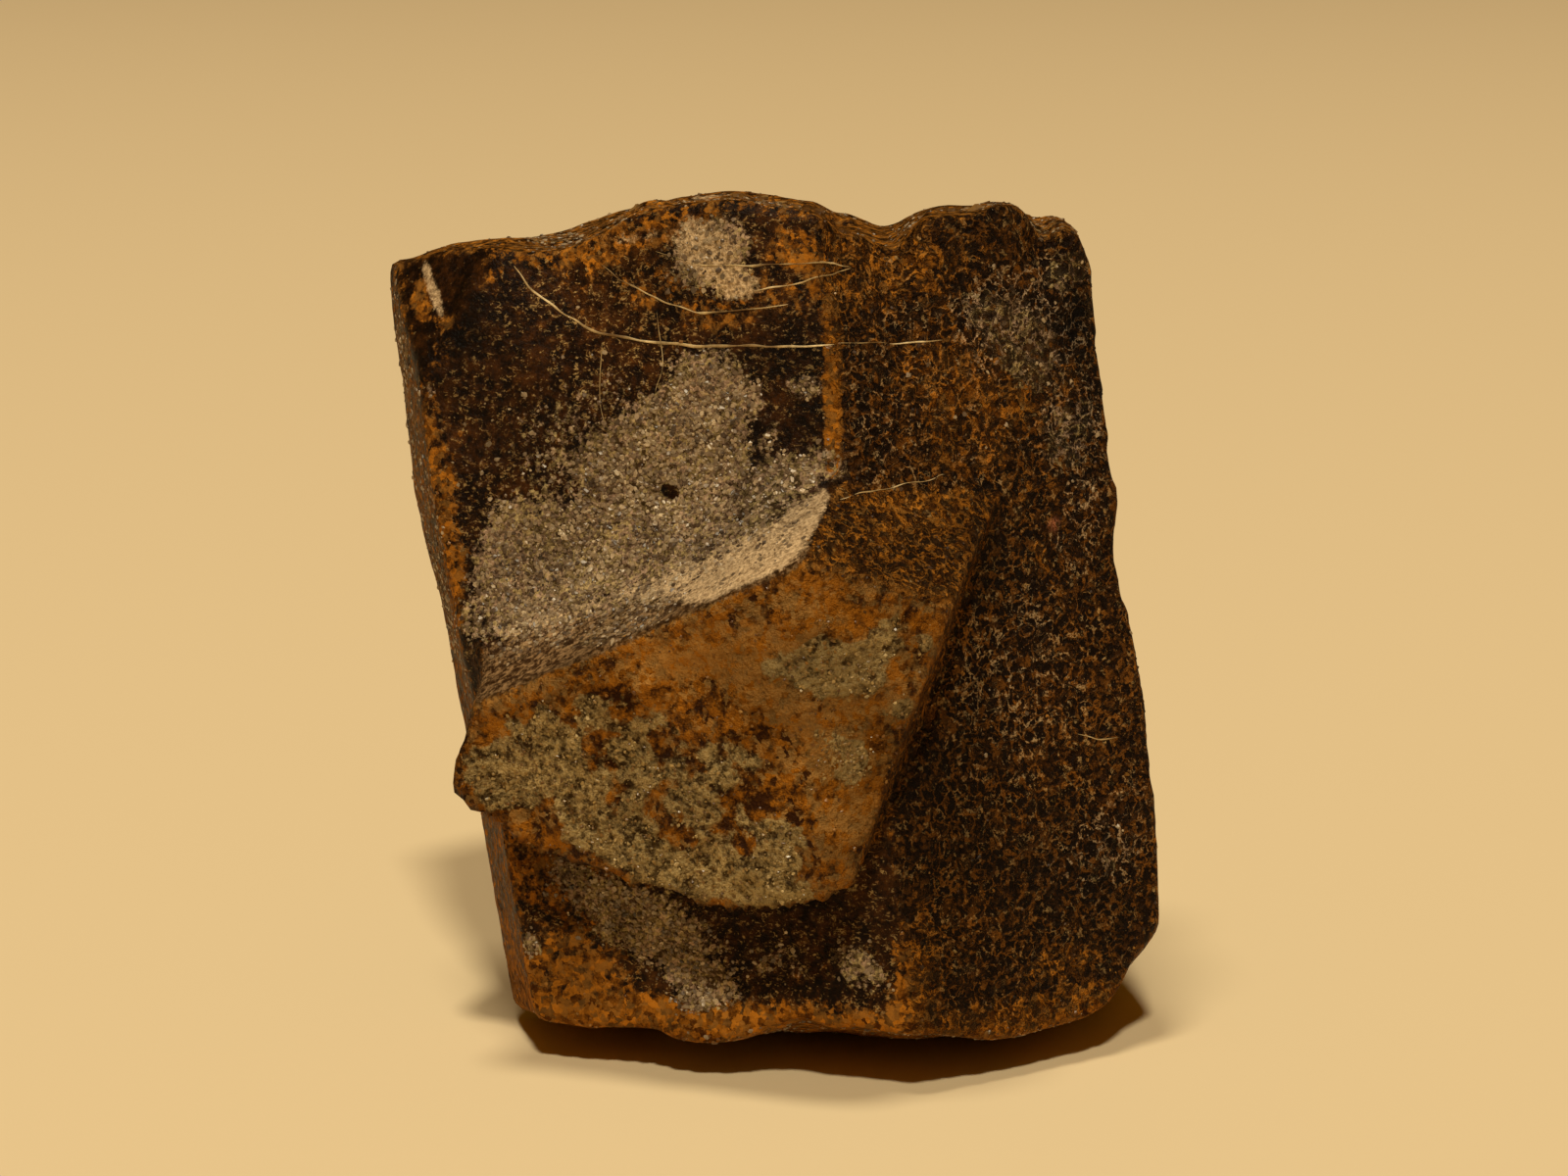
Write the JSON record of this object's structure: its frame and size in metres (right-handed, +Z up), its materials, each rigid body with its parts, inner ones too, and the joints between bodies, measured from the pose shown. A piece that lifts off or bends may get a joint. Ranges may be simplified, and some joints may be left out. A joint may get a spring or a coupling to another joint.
{
  "type": "staurolite crystal twin",
  "caption": "Staurolite penetration twin: a stout six-sided prism standing upright, crossed at 60 degrees by a second crystal with a broken end.",
  "frame": {"origin": "middle of the bounding box in X and Y, on the flat face that the crystal stands on", "axes": "+Z up, along the stout crystal's height; -Y towards the side where the crossing crystal's broken end comes out; +X to the right seen from that side"},
  "size_m": [0.0342, 0.0318, 0.0377],
  "materials": {
    "staurolite": "matte"
  },
  "bodies": {
    "root": {"staurolite_crystal": "staurolite"}
  },
  "joints": []
}
